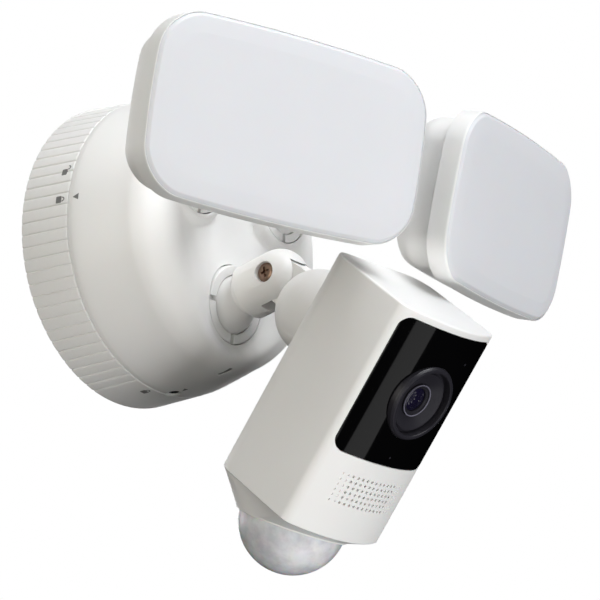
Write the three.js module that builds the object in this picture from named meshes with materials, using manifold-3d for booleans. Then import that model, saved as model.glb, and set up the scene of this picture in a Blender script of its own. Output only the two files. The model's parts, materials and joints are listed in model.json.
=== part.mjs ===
// Floodlight security camera: a round wall base that carries two tilting light panels and a camera head.
// Millimetres, +Z up. The wall is the plane y = 0, the front looks along -Y, and +X is right as seen from
// the front. The origin is the centre of the wall bracket's back face.
import * as THREE from 'three';
import { mergeVertices } from 'three/addons/utils/BufferGeometryUtils.js';
import Module from 'manifold-3d';

const wasm = await Module();
wasm.setup();

// ---------------------------------------------------------------- driving dimensions
const GAP = 0.3;                       // running and seating gap between neighbouring pieces
const WALL = 2.5;                      // moulded wall thickness

const RING = { rearR: 76, frontR: 74.2, width: 28.1, boreR: 68, flangeBoreR: 70.4, shoulderY: -15, ribs: 80 };
const BODY = { rimR: 74, rimY: -28.4, skirtR: 67.6, flangeR: 69.9, flangeY: -12.2 };
const BRACKET = { plateR: 58, cupR: 61.5, thickness: 2.5, cupDepth: 9, lugR: 66, lugThickness: 2.4 };
const LUGS = 3;                        // bayonet lugs on the bracket and in the lock ring
const LUG_ANGLE = 10 * Math.PI / 180;

const LOCK_SCREW = { y: -31.4, head: 3.1, hole: 3.6, shaft: 1.7, top: 73.4, seat: 71.4, tip: 68.5 };
const DRAIN = { x: [2.4, 5.6], y: [-64.2, -56.6] };     // a small drain slot low on the housing

// The three ball joints: where the ball's centre is, how far its collar leans down, and its scale.
const CAMERA_BALL = { x: 0, y: -63.8, z: -34.8, lean: 7 * Math.PI / 180, scale: 1 };
const LIGHT_BALL = { x: 32, y: -68.5, z: 19, lean: 0, scale: 0.874 };
const BALL_R = 15;                     // the sizes below are for a joint of scale 1
const LIP = { boreR: 14.3, outerR: 19, front: -6.6, back: 1 };
const NECK_R = 9.5;
const CUP = { outerR: 19, front: 1.3, back: 17, vent: 5 };

const ARM = { radius: 13.5, start: 15.5, slot: 12, slotBack: 12.5, flat: 12.2 };
const SHANK_R = 5.5;
const CAMERA_ARM = { length: 35, rise: 13.5 * Math.PI / 180 };
const LIGHT_ARM = { length: 56 };
const PIN = { radius: 2.35, hole: 2.65, headR: 4.7, headHole: 5.1, seat: 10.7 };
const TONGUE = { thickness: 11.4, radius: 10.5 };

const HEAD = {
  tilt: 37.2 * Math.PI / 180, back: -47.2, top: 29.4, bottom: -79.4, halfWidth: 35, backCorner: 12,
  frontR: 75, front: -108.5, sideCorner: 6, bossR: 21.2, bossY: -32.2, bossZ: -3.2,
  topRise: 2.4, bottomRise: 2.2,
};
// The motion sensor's dome looks a little ahead of the head's own axis, so its collar is cut at a slant.
const DOME = { radius: 25.6, y: -77.1, z: -88.9, lean: 12.6 * Math.PI / 180, thickness: 1.5, flangeR: 25.8 };
const COLLAR = { rimR: 27, boreR: 25.7, rimDrop: 2.5, lip: 1.6 };
const PANEL = { halfWidth: 32.8, top: 25.9, bottom: -41.8, corner: 5.6, thickness: 1.2, recess: 1.5 };
const LENS = { z: -9, bezelR: 18.5, funnelR: 15.4, barrelR: 7.2, glassR: 5.4 };

const LAMP = {
  width: 139, height: 79, corner: 19, bulge: 2.4, frameDepth: 10, depth: 32, backRound: 12,
  flangeInset: 2.2, flangeDepth: 1, coverInset: 4.2, boss: 22.5, reach: 62, bossR: 19,
};
const LEFT_POSE = { pan: -16.7, roll: 2, tilt: 11.3 };
const RIGHT_POSE = { pan: 12.5, roll: -2.8, tilt: 13.5 };

// ---------------------------------------------------------------- colours
const COLOURS = {
  white: [0xf1f1ef, 0.45, 0], diffuser: [0xe2e5ea, 0.35, 0], black: [0x08080a, 0.06, 0],
  graphite: [0x2a2930, 0.35, 0.1], glass: [0x1b1c28, 0.05, 0], dome: [0xe8e9ec, 0.3, 0],
  bronze: [0x7d6656, 0.35, 0.9], steel: [0xb4b6b8, 0.35, 0.9], rubber: [0x1c1c1c, 0.8, 0],
  board: [0x1f5136, 0.6, 0], aluminium: [0xb8babd, 0.4, 0.8], part: [0x3b3b3f, 0.6, 0],
};

function material(name) {
  const [color, roughness, metalness] = COLOURS[name];
  return new THREE.MeshStandardMaterial({ color, roughness, metalness });
}

// ---------------------------------------------------------------- solids
function signedVolume(position, index) {
  const a = new THREE.Vector3();
  const b = new THREE.Vector3();
  const c = new THREE.Vector3();
  let volume = 0;
  for (let i = 0; i < index.length; i += 3) {
    a.fromArray(position, 3 * index[i]);
    b.fromArray(position, 3 * index[i + 1]);
    c.fromArray(position, 3 * index[i + 2]);
    volume += a.dot(b.cross(c)) / 6;
  }
  return volume;
}

// Turns a closed three.js geometry into a solid whose faces point out.
function solid(geometry) {
  const plain = geometry.clone();
  for (const name of Object.keys(plain.attributes)) {
    if (name !== 'position') plain.deleteAttribute(name);
  }
  const merged = mergeVertices(plain, 1e-4);
  const position = new Float32Array(merged.attributes.position.array);
  const corners = Array.from(merged.index.array);
  const faces = [];
  for (let i = 0; i < corners.length; i += 3) {
    const [a, b, c] = corners.slice(i, i + 3);
    if (a !== b && b !== c && a !== c) faces.push(a, b, c);
  }
  if (signedVolume(position, faces) < 0) faces.reverse();
  const triVerts = new Uint32Array(faces);
  return new wasm.Manifold(new wasm.Mesh({ numProp: 3, vertProperties: position, triVerts }));
}

function geometryOf(body) {
  const mesh = body.getMesh();
  const geometry = new THREE.BufferGeometry();
  geometry.setAttribute('position', new THREE.BufferAttribute(new Float32Array(mesh.vertProperties), 3));
  geometry.setIndex(new THREE.BufferAttribute(new Uint32Array(mesh.triVerts), 1));
  geometry.computeVertexNormals();
  return geometry;
}

const joined = (first, ...rest) => rest.reduce((whole, piece) => whole.add(piece), first);
const cut = (first, ...rest) => rest.reduce((whole, piece) => whole.subtract(piece), first);

function piece(name, body, colour) {
  const mesh = new THREE.Mesh(geometryOf(body), material(colour));
  mesh.name = name;
  return mesh;
}

// ---------------------------------------------------------------- basic shapes
// Turned about the Y axis from points [radius, y].
function turned(points, segments = 24) {
  return solid(new THREE.LatheGeometry(points.map(([r, y]) => new THREE.Vector2(r, y)), segments));
}

// Turned about the vertical axis through (0, y) from points [radius, z].
function turnedUpright(points, y = 0, segments = 24) {
  const outline = points.map(([r, z]) => new THREE.Vector2(r, z));
  return solid(new THREE.LatheGeometry(outline, segments).rotateX(Math.PI / 2).translate(0, y, 0));
}

function box(low, high) {
  const size = high.map((value, i) => value - low[i]);
  const centre = high.map((value, i) => (value + low[i]) / 2);
  return solid(new THREE.BoxGeometry(...size).translate(...centre));
}

// A rod along X, Y or Z between two values of that axis, through a point of the other two.
function rod(axis, from, to, radius, centre = [0, 0], segments = 24) {
  const geometry = new THREE.CylinderGeometry(radius, radius, to - from, segments);
  const middle = (from + to) / 2;
  if (axis === 'x') return solid(geometry.rotateZ(Math.PI / 2).translate(middle, centre[0], centre[1]));
  if (axis === 'y') return solid(geometry.translate(centre[0], middle, centre[1]));
  return solid(geometry.rotateX(Math.PI / 2).translate(centre[0], centre[1], middle));
}

function ball(radius, centre, widthSegments = 20, heightSegments = 10) {
  return solid(new THREE.SphereGeometry(radius, widthSegments, heightSegments).translate(...centre));
}

// A closed skin through rings that all have the same number of points, with a flat fan at each end.
function loft(rings) {
  const count = rings[0].length;
  const position = rings.flat().flatMap((p) => [p.x, p.y, p.z]);
  const faces = [];
  for (let k = 0; k + 1 < rings.length; k += 1) {
    for (let i = 0; i < count; i += 1) {
      const j = (i + 1) % count;
      const [a, b, c, d] = [k * count + i, k * count + j, (k + 1) * count + j, (k + 1) * count + i];
      faces.push(a, b, c, a, c, d);
    }
  }
  for (const k of [0, rings.length - 1]) {
    const centre = rings[k].reduce((sum, p) => sum.add(p), new THREE.Vector3()).divideScalar(count);
    const hub = position.length / 3;
    position.push(centre.x, centre.y, centre.z);
    for (let i = 0; i < count; i += 1) {
      const [a, b] = [k * count + i, k * count + (i + 1) % count];
      if (k === 0) faces.push(b, a, hub);
      else faces.push(a, b, hub);
    }
  }
  const geometry = new THREE.BufferGeometry();
  geometry.setAttribute('position', new THREE.Float32BufferAttribute(position, 3));
  geometry.setIndex(faces);
  return solid(geometry);
}

// A wedge of a ring about the Y axis, used for the bayonet lugs.
function arcBlock(innerR, outerR, yBack, yFront, middle, spread, steps = 2) {
  const shape = new THREE.Shape();
  shape.absarc(0, 0, outerR, middle - spread / 2, middle + spread / 2, false);
  shape.absarc(0, 0, innerR, middle + spread / 2, middle - spread / 2, true);
  shape.closePath();
  return solid(slab(shape, yBack, yFront, steps));
}

// Extrudes a front-view outline (x, z) from y = back forward to y = front.
function slab(shape, back, front, curveSegments = 6) {
  const options = { depth: back - front, bevelEnabled: false, curveSegments };
  const geometry = new THREE.ExtrudeGeometry(shape, options);
  return geometry.rotateX(Math.PI / 2).translate(0, back, 0);
}

function roundedRect(x0, z0, x1, z1, r) {
  const shape = new THREE.Shape();
  shape.moveTo(x0 + r, z0);
  shape.lineTo(x1 - r, z0);
  shape.absarc(x1 - r, z0 + r, r, -Math.PI / 2, 0, false);
  shape.absarc(x1 - r, z1 - r, r, 0, Math.PI / 2, false);
  shape.absarc(x0 + r, z1 - r, r, Math.PI / 2, Math.PI, false);
  shape.absarc(x0 + r, z0 + r, r, Math.PI, 1.5 * Math.PI, false);
  return shape;
}

// ---------------------------------------------------------------- wall side
function wallBracket() {
  const { plateR, cupR, thickness, cupDepth, lugR, lugThickness } = BRACKET;
  const pan = turned([[0, -thickness], [plateR, -thickness], [plateR, -cupDepth], [cupR, -cupDepth],
    [cupR, 0], [0, 0]]);
  const lugs = [];
  for (let i = 0; i < LUGS; i += 1) {
    const middle = Math.PI / 2 + i * 2 * Math.PI / LUGS;
    lugs.push(arcBlock(cupR - 1, lugR, -cupDepth + lugThickness, -cupDepth, middle, LUG_ANGLE));
  }
  const boxScrewSpacing = 88.9;
  const slotHalf = 7;
  const slotR = 2.4;
  const cuts = [solid(slab(roundedRect(-20, 14, 20, 40, 8), 1, -thickness - 1))];
  for (const side of [-1, 1]) {
    const x = side * boxScrewSpacing / 2;
    const slot = roundedRect(x - slotHalf, -slotR, x + slotHalf, slotR, slotR - 0.05);
    cuts.push(solid(slab(slot, 1, -thickness - 1)));
    cuts.push(rod('y', -thickness - 1, 1, 2.4, [side * 30, -30], 20));
  }
  return piece('wall_bracket', cut(joined(pan, ...lugs), ...cuts), 'steel');
}

function wallGasket() {
  const profile = [[62.2, -2.4], [67.6, -2.4], [67.6, -0.05], [62.2, -0.05], [62.2, -2.4]];
  return piece('wall_gasket', turned(profile, 36), 'rubber');
}

// The ribs cover the ring except for a smooth patch at the bottom, where the lock screw sits.
function ringOutline(radius, depth) {
  const pitch = 2 * Math.PI / RING.ribs;
  const bare = 14 * Math.PI / 180;
  const points = [];
  for (let i = 0; i < RING.ribs; i += 1) {
    const start = -Math.PI / 2 + i * pitch;
    for (const [share, low] of [[0, true], [0.5, false]]) {
      const angle = start + share * pitch;
      const fromBottom = Math.abs(Math.atan2(Math.sin(angle + Math.PI / 2), Math.cos(angle + Math.PI / 2)));
      const r = radius - (low && fromBottom > bare ? depth : 0);
      points.push([r * Math.cos(angle), r * Math.sin(angle)]);
    }
  }
  return points;
}

function lockRing() {
  const { rearR, frontR, width, boreR, flangeBoreR, shoulderY } = RING;
  const ribDepth = 0.7;
  const rings = [[rearR, 0], [frontR, -width]].map(([r, y]) =>
    ringOutline(r, ribDepth).map(([x, z]) => new THREE.Vector3(x, y, z)));
  const bore = turned([[0, -width - 1], [boreR, -width - 1], [boreR, shoulderY], [flangeBoreR, shoulderY],
    [flangeBoreR, 1], [0, 1]], 40);
  const lugs = [];
  for (let i = 0; i < LUGS; i += 1) {
    const middle = Math.PI / 2 + i * 2 * Math.PI / LUGS;
    lugs.push(arcBlock(62.4, flangeBoreR + 0.6, -3, -6.2, middle, LUG_ANGLE));
  }
  return piece('lock_ring', joined(cut(loft(rings), bore), ...lugs), 'white');
}

// The screw that locks the ring, in a counterbore under the housing's rim.
function lockScrew() {
  const { y, head, shaft, top, seat, tip } = LOCK_SCREW;
  const slotDepth = 1.2;
  const body = joined(rod('z', -top, -seat, head, [0, y], 20),
    rod('z', -seat - 0.2, -tip, shaft, [0, y], 12));
  const crossA = box([-0.4, y - 2, -top - 1], [0.4, y + 2, -top + slotDepth]);
  const crossB = box([-2, y - 0.4, -top - 1], [2, y + 0.4, -top + slotDepth]);
  return piece('lock_screw', cut(body, crossA, crossB), 'steel');
}

// ---------------------------------------------------------------- base housing
const BODY_PROFILE = [[BODY.rimR, BODY.rimY], [73.8, -32], [72.3, -39], [67.9, -56], [66.4, -62],
  [63.4, -67.4], [58.4, -71.6], [53.4, -73.6], [47, -73.9], [40, -72.2], [30, -70.2], [0, -68.8]];
const BODY_BORE = [[0, -66.2], [30, -67.6], [40, -69.6], [47, -71.2], [54, -70.4], [61, -65],
  [64, -60.6], [65.4, -55], [69.6, -37.5], [70.6, -31.6], [64.8, -27.2], [64.8, -5]];

function placeAtJoint(body, joint, side = 1) {
  const degrees = joint.lean * 180 / Math.PI;
  return body.rotate([degrees, 0, 0]).translate([side * joint.x, joint.y, joint.z]);
}

function jointBoss(joint, side = 1) {
  const k = joint.scale;
  const mouth = LIP.front * k;
  const rim = LIP.outerR * k + GAP + 1.7;
  const horn = turned([[0, mouth], [rim, mouth], [rim + 0.6, mouth + 1], [rim + 1.6, mouth + 3],
    [rim + 3.4, mouth + 5], [rim + 5, mouth + 8], [0, mouth + 8]]);
  return placeAtJoint(horn, joint, side);
}

function jointHole(joint, side = 1) {
  const radius = LIP.outerR * joint.scale + GAP;
  return placeAtJoint(rod('y', -30, 40, radius, [0, 0], 28), joint, side);
}

function baseBody() {
  const { rimY, skirtR, flangeR, flangeY } = BODY;
  const outer = turned([...BODY_PROFILE.slice().reverse(), [skirtR, rimY], [skirtR, flangeY - 2.4],
    [flangeR, flangeY - 2.4], [flangeR, flangeY], [0, flangeY]], 40);
  const dishFront = LIP.front - 6;
  const dish = turned([[0, dishFront], [33, dishFront], [21.4, LIP.front], [0, LIP.front]]);
  const bore = turned(BODY_BORE.concat([[0, -5]]), 30);
  const backing = turned([[0, LIP.front + 2.2], [22, LIP.front + 2.2], [22, LIP.front + 9],
    [0, LIP.front + 9]]);
  const bosses = [jointBoss(CAMERA_BALL), jointBoss(LIGHT_BALL, -1), jointBoss(LIGHT_BALL, 1)];
  let shell = joined(cut(outer, placeAtJoint(dish, CAMERA_BALL)), ...bosses);
  shell = cut(shell, bore);
  shell = joined(shell, placeAtJoint(backing, CAMERA_BALL));
  const holes = [jointHole(CAMERA_BALL), jointHole(LIGHT_BALL, -1), jointHole(LIGHT_BALL, 1),
    rod('z', -80, -LOCK_SCREW.seat, LOCK_SCREW.hole, [0, LOCK_SCREW.y], 20),
    rod('z', -80, -60, LOCK_SCREW.shaft + 0.2, [0, LOCK_SCREW.y], 12),
    box([DRAIN.x[0], DRAIN.y[0], -80], [DRAIN.x[1], DRAIN.y[1], -60])];
  return piece('base_body', cut(shell, ...holes), 'white');
}

// The threaded ring that traps a ball, and the cup behind the ball that it squeezes.
function retainingRing(name, joint, side) {
  const k = joint.scale;
  const profile = [[LIP.boreR, LIP.front], [LIP.outerR, LIP.front], [LIP.outerR, LIP.back], [16.2, LIP.back],
    [15.6, -2.2], [14.4, -5.1], [LIP.boreR, LIP.front]];
  let ring = turned(profile.map(([r, y]) => [r * k, y * k]), 28);
  const slotHalf = 2.2 * k;
  for (let i = 0; i < 4; i += 1) {
    const notch = box([LIP.boreR * k - 1, LIP.front * k - 1, -slotHalf],
      [LIP.boreR * k + 3.2 * k, LIP.front * k + 1.3, slotHalf]);
    ring = ring.subtract(notch.rotate([0, 90 * i, 0]));
  }
  return piece(name, placeAtJoint(ring, joint, side), 'white');
}

function jointCup(name, joint, side) {
  const k = joint.scale;
  const { outerR, front, back, vent } = CUP;
  const cup = turned([[outerR, front], [outerR, back], [vent, back], [vent, 14.9], [9, 12.9], [12.6, 9.6],
    [14.8, 5.8], [15.5, front], [outerR, front]].map(([r, y]) => [r * k, y * k]));
  return piece(name, placeAtJoint(cup, joint, side), 'part');
}

function baseElectronics() {
  const board = cut(box([-34, -22, -52], [34, -20.4, -4]), rod('y', -24, -18, 2, [-30, -8], 16));
  const transformer = box([-14, -38, -28], [14, -22.3, -6]);
  const capacitor = rod('y', -40, -22.3, 6.3, [24, -20], 24);
  const terminals = box([-31, -34, -30], [-18, -22.3, -12]);
  return [piece('power_board', board, 'board'), piece('supply_transformer', transformer, 'part'),
    piece('supply_capacitor', capacitor, 'part'), piece('terminal_block', terminals, 'part')];
}

// ---------------------------------------------------------------- ball, arm and elbow
// These are drawn with the ball's centre at the origin and the arm running along -Y.
function ballStud(name, scale, length) {
  const tip = -(length - ARM.slotBack - 3);
  const neckEnd = -(ARM.start - GAP);
  const neck = turned([[0, tip], [SHANK_R, tip], [SHANK_R, neckEnd], [NECK_R * scale, neckEnd],
    [NECK_R * scale, 0], [0, 0]], 20);
  return piece(name, joined(ball(BALL_R * scale, [0, 0, 0]), neck), 'white');
}

function armFork(name, length) {
  const { radius, start, slot, slotBack, flat } = ARM;
  const sleeve = joined(rod('y', -length, -start, radius), ball(radius, [0, -length, 0]));
  const far = radius + 5;
  const shankHole = rod('y', -(length - slotBack - 2.4), -start + 1, SHANK_R + GAP, [0, 0], 20);
  return piece(name, cut(sleeve, shankHole,
    box([-slot / 2, -length - far, -far], [slot / 2, -length + slotBack, far]),
    box([-far, -length - far, -far], [-flat, -length + far, far]),
    box([flat, -length - far, -far], [far, -length + far, far]),
    rod('x', -far, far, PIN.hole, [-length, 0], 16),
    rod('x', -far, -PIN.seat, PIN.headHole, [-length, 0]),
    rod('x', PIN.seat, far, PIN.headHole, [-length, 0])), 'white');
}

function elbowScrew(name, length) {
  const head = rod('x', -ARM.flat - 0.3, -PIN.seat - 0.2, PIN.headR, [-length, 0], 20);
  const shaft = rod('x', -PIN.seat - 0.4, ARM.flat, PIN.radius, [-length, 0], 14);
  const reach = 2.6;
  const depth = -ARM.flat + 0.9;
  const crossA = box([-ARM.flat - 1, -length - reach, -0.5], [depth, -length + reach, 0.5]);
  const crossB = box([-ARM.flat - 1, -length - 0.5, -reach], [depth, -length + 0.5, reach]);
  return piece(name, cut(joined(head, shaft), crossA, crossB), 'bronze');
}

function elbowNut(name, length) {
  const nut = rod('x', PIN.seat + 0.2, ARM.flat - 0.1, 4.4, [-length, 0], 6);
  return piece(name, cut(nut, rod('x', 0, 20, PIN.radius + 0.25, [-length, 0], 14)), 'steel');
}

// The eye on the carried part, drawn with the elbow's axis at the origin and the part ahead of it.
function tongue(reach) {
  const half = TONGUE.thickness / 2;
  return joined(rod('x', -half, half, TONGUE.radius),
    box([-half, -reach, -TONGUE.radius], [half, 0, TONGUE.radius]));
}

const pinHole = () => rod('x', -20, 20, PIN.hole, [0, 0], 16);
const armClearance = () => ball(ARM.radius + 0.8, [0, 0, 0]);

// ---------------------------------------------------------------- camera head
// Drawn with the elbow's axis at the origin, before the head is tilted down.
const HEAD_ARCS = (() => {
  const { back, halfWidth, backCorner, frontR, front, sideCorner } = HEAD;
  const arcY = front + frontR;
  const cornerX = halfWidth - sideCorner;
  const cornerY = arcY - Math.sqrt((frontR - sideCorner) ** 2 - cornerX ** 2);
  const lean = Math.atan2(cornerX, cornerY - arcY);
  return [
    { x: halfWidth - backCorner, y: back - backCorner, r: backCorner, from: 0, to: Math.PI / 2, steps: 4 },
    { x: cornerX, y: cornerY, r: sideCorner, from: Math.PI / 2, to: lean, steps: 2 },
    { x: 0, y: arcY, r: frontR, from: lean, to: Math.PI, steps: 6 },
  ];
})();

// The head's outline as [x, y, heading] points, drawn in by an even inset.
function headOutline(inset) {
  const right = [];
  for (const { x, y, r, from, to, steps } of HEAD_ARCS) {
    for (let i = 0; i <= steps; i += 1) {
      const heading = from + (to - from) * i / steps;
      right.push([x + (r - inset) * Math.sin(heading), y + (r - inset) * Math.cos(heading), heading]);
    }
  }
  const left = right.slice(0, -1).reverse().map(([x, y, heading]) => [-x, y, -heading]);
  return right.concat(left);
}

// A cross-section at height z, whose back edge is higher than its front edge by rise.
function headSection(z, inset, rise = 0) {
  const slope = rise / (HEAD.back - HEAD.front);
  return headOutline(inset).map(([x, y]) => new THREE.Vector3(x, y, z + slope * (y - HEAD.front)));
}

// A point at (x, y, z) from the dome's centre, along the dome's own leaning axes.
function domePoint(x, y, z) {
  return new THREE.Vector3(x, y, z).applyAxisAngle(new THREE.Vector3(1, 0, 0), -DOME.lean)
    .add(new THREE.Vector3(0, DOME.y, DOME.z));
}

const rimSection = (drop, radius) => headOutline(0).map(([, , heading]) =>
  domePoint(radius * Math.sin(heading), radius * Math.cos(heading), -drop));

function leanWithDome(body) {
  return body.rotate([-DOME.lean * 180 / Math.PI, 0, 0]).translate([0, DOME.y, DOME.z]);
}

function panelWindow(growth) {
  const { halfWidth, top, bottom, corner } = PANEL;
  const x = halfWidth + growth;
  const shape = roundedRect(-x, bottom - growth, x, top + growth, corner + growth);
  return solid(slab(shape, HEAD.front + 30, HEAD.front - 5));
}

function headShell() {
  const { top, bottom, back, front, bossR, bossY, bossZ, topRise, bottomRise } = HEAD;
  const foot = bottom - bottomRise;
  const outer = loft([headSection(foot, 0, bottomRise), headSection(top - 0.8, 0, topRise),
    headSection(top, 0.8, topRise)]);
  const inner = loft([headSection(foot - 1, WALL), headSection(top - WALL, WALL)]);
  const core = loft([headSection(bottom - 1, PANEL.recess), headSection(top + 1, PANEL.recess)]);
  const recess = cut(panelWindow(0.2), core);
  const boss = joined(ball(bossR, [0, bossY, bossZ]), rod('y', back - 1, bossY, bossR, [0, bossZ]));
  const rear = cut(joined(cut(boss, armClearance()), cut(tongue(-back), pinHole())),
    box([-30, front, -60], [30, back - 1, 60]));
  const lensHole = rod('y', front - 5, front + 20, LENS.bezelR + GAP, [0, LENS.z], 28);
  return piece('head_shell', joined(cut(outer, inner, recess, lensHole), rear), 'white');
}

function headCollar() {
  const { rimR, boreR, rimDrop, lip } = COLLAR;
  const seam = HEAD.bottom - HEAD.bottomRise - GAP;
  const outer = loft([rimSection(rimDrop, rimR), headSection(seam, 0, HEAD.bottomRise)]);
  const inner = loft([rimSection(rimDrop - lip, rimR - 0.3), headSection(seam + 0.5, WALL, HEAD.bottomRise)]);
  const bore = leanWithDome(rod('z', -rimDrop - 3, 3, boreR));
  return piece('head_collar', cut(outer, inner, bore), 'white');
}

function pirDome() {
  const { radius, thickness, flangeR } = DOME;
  const flangeZ = -COLLAR.rimDrop + COLLAR.lip + GAP;
  const steps = 6;
  const arc = (r, startZ) => {
    const points = [];
    const start = Math.acos(-startZ / r);
    for (let i = 0; i <= steps; i += 1) {
      const angle = start * (1 - i / steps);
      points.push([r * Math.sin(angle), -r * Math.cos(angle)]);
    }
    return points;
  };
  const top = flangeZ + 1.4;
  const shell = [[flangeR, top], [flangeR, flangeZ], ...arc(radius - 0.3, flangeZ),
    ...arc(radius - 0.3 - thickness, top).reverse(), [flangeR, top]];
  return piece('pir_dome', leanWithDome(turnedUpright(shell)), 'dome');
}

function frontPanel() {
  const { top, bottom, thickness } = PANEL;
  const skin = cut(loft([headSection(bottom - 5, 0), headSection(top + 5, 0)]),
    loft([headSection(bottom - 6, thickness), headSection(top + 6, thickness)]));
  const lensHole = rod('y', HEAD.front - 5, HEAD.front + 20, LENS.bezelR + GAP, [0, LENS.z], 28);
  return piece('front_panel', cut(skin.intersect(panelWindow(0)), lensHole), 'black');
}

function lensParts() {
  const { z, bezelR, funnelR, barrelR, glassR } = LENS;
  const lip = HEAD.front - 1;
  const bezel = turned([[barrelR + 0.4, lip + 6], [funnelR, lip + 2.2], [funnelR, lip], [bezelR - 0.6, lip],
    [bezelR, lip + 0.8], [bezelR, lip + 10], [barrelR + 0.4, lip + 10], [barrelR + 0.4, lip + 6]], 32);
  const barrel = turned([[0, lip + 36], [barrelR, lip + 36], [barrelR, lip + 4.6], [barrelR - 0.8, lip + 4.6],
    [glassR + 0.2, lip + 6], [glassR + 0.2, lip + 9], [0, lip + 9]], 24);
  const glass = turned([[0, lip + 8.7], [glassR, lip + 8.7], [glassR, lip + 7.4], [glassR * 0.6, lip + 6.5],
    [0, lip + 6.1]], 24);
  return [piece('lens_bezel', bezel.translate([0, 0, z]), 'graphite'),
    piece('lens_barrel', barrel.translate([0, 0, z]), 'graphite'),
    piece('lens_glass', glass.translate([0, 0, z]), 'glass')];
}

function headElectronics() {
  const imager = box([-15, -73.2, -24.2], [15, -71.6, 5.8]);
  const board = cut(box([-26, -62, -66], [26, -60.4, 20]), rod('y', -64, -58, 1.6, [-22, 16], 16));
  const speaker = turned([[0, -104], [13, -104], [13, -100.5], [8.5, -96], [8.5, -93], [0, -93]], 24);
  const sensor = leanWithDome(rod('z', 0.6, 4.8, 4.6, [0, 0], 20));
  const sensorBoard = leanWithDome(box([-14, -9, 5.1], [14, 9, 6.7]));
  return [piece('image_sensor_board', imager, 'board'), piece('main_board', board, 'board'),
    piece('speaker', speaker.translate([0, 0, -55]), 'part'), piece('pir_sensor', sensor, 'steel'),
    piece('pir_board', sensorBoard, 'board')];
}

// ---------------------------------------------------------------- light panels
// Drawn about the centre of the front face, with the body running back along +Y.
function lampOutline(inset, y, perCorner = 5, perSide = 3) {
  const { width, height, corner, bulge } = LAMP;
  const halfW = width / 2;
  const halfH = height / 2;
  const straight = [];
  const centres = [[1, 1], [-1, 1], [-1, -1], [1, -1]];
  const onCorner = ([sx, sz], angle) => [
    sx * (halfW - corner) + corner * Math.cos(angle), sz * (halfH - corner) + corner * Math.sin(angle)];
  centres.forEach((centre, q) => {
    for (let i = 0; i <= perCorner; i += 1) {
      straight.push(onCorner(centre, (q + i / perCorner) * Math.PI / 2));
    }
    const from = straight[straight.length - 1];
    const to = onCorner(centres[(q + 1) % 4], (q + 1) * Math.PI / 2);
    for (let i = 1; i < perSide; i += 1) {
      straight.push([from[0] + (to[0] - from[0]) * i / perSide, from[1] + (to[1] - from[1]) * i / perSide]);
    }
  });
  const bowed = straight.map(([x, z]) => new THREE.Vector3(
    x * (1 + bulge / halfW * (1 - (z / halfH) ** 2)), y, z * (1 + bulge / halfH * (1 - (x / halfW) ** 2))));
  return bowed.map((p, i) => {
    const before = bowed[(i + bowed.length - 1) % bowed.length];
    const after = bowed[(i + 1) % bowed.length];
    const normal = new THREE.Vector3(after.z - before.z, 0, before.x - after.x).normalize();
    return p.clone().addScaledVector(normal, -inset);
  });
}

function lampCover(name, side) {
  const { frameDepth, depth, flangeInset, flangeDepth, coverInset, backRound, boss, reach, bossR } = LAMP;
  const seam = frameDepth + GAP;
  const rounding = (offset) => [0, 0.5, 0.8, 1].map((t) => {
    const angle = t * Math.PI / 2;
    const r = backRound - offset;
    const inset = coverInset + offset + r * (1 - Math.cos(angle));
    return lampOutline(inset, depth - backRound + r * Math.sin(angle));
  });
  const flange = [lampOutline(flangeInset, seam), lampOutline(flangeInset, seam + flangeDepth)];
  const outer = loft([...flange, lampOutline(coverInset, seam + flangeDepth + 0.2), ...rounding(0)]);
  const inner = loft([lampOutline(coverInset + WALL, seam - 1), ...rounding(WALL)]);
  const dome = turned([[0, depth - 1.5], [bossR + 3, depth - 1.5], [bossR + 0.5, depth + 1],
    [bossR - 1, depth + 5], [bossR - 4, depth + 13], [bossR - 9, depth + 18], [0, depth + 20]]);
  const elbow = [-side * boss, reach, 0];
  const root = depth - 1.5 - reach;
  const eye = cut(tongue(-root), pinHole()).translate(elbow);
  const rear = joined(cut(dome.translate([elbow[0], 0, 0]), armClearance().translate(elbow)), eye);
  return piece(name, joined(cut(outer, inner), rear), 'white');
}

function lampPieces(prefix, side) {
  const { frameDepth } = LAMP;
  const stack = (...levels) => loft(levels.map(([inset, y]) => lampOutline(inset, y)));
  const frame = cut(stack([1.2, 0], [0.35, 0.4], [0, 1.3], [0, frameDepth]),
    stack([WALL, -1], [WALL, frameDepth + 1]));
  const diffuser = stack([WALL + 4.5, -0.9], [WALL + 1.6, -0.6], [WALL + GAP, 0.6], [WALL + GAP, 3]);
  const seal = cut(stack([WALL + GAP, 3.3], [WALL + GAP, 5]), stack([WALL + 3, 3], [WALL + 3, 5.3]));
  const board = stack([WALL + 1.2, 5.4], [WALL + 1.2, 6.9]);
  const spreader = stack([WALL + 0.9, 7.3], [WALL + 0.9, 9.6]);
  return [
    piece(`${prefix}_light_frame`, frame, 'white'),
    piece(`${prefix}_light_diffuser`, diffuser, 'diffuser'),
    piece(`${prefix}_light_seal`, seal, 'rubber'),
    piece(`${prefix}_led_board`, board, 'board'),
    piece(`${prefix}_heat_spreader`, spreader, 'aluminium'),
    lampCover(`${prefix}_light_cover`, side),
  ];
}

// ---------------------------------------------------------------- assembly
function group(children, position = [0, 0, 0], rotation = [0, 0, 0], order = 'XYZ') {
  const holder = new THREE.Group();
  holder.add(...children);
  holder.position.set(...position);
  holder.rotation.set(...rotation, order);
  return holder;
}

function elbowHardware(prefix, length) {
  return [armFork(`${prefix}_arm`, length), elbowScrew(`${prefix}_elbow_screw`, length),
    elbowNut(`${prefix}_elbow_nut`, length)];
}

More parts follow.
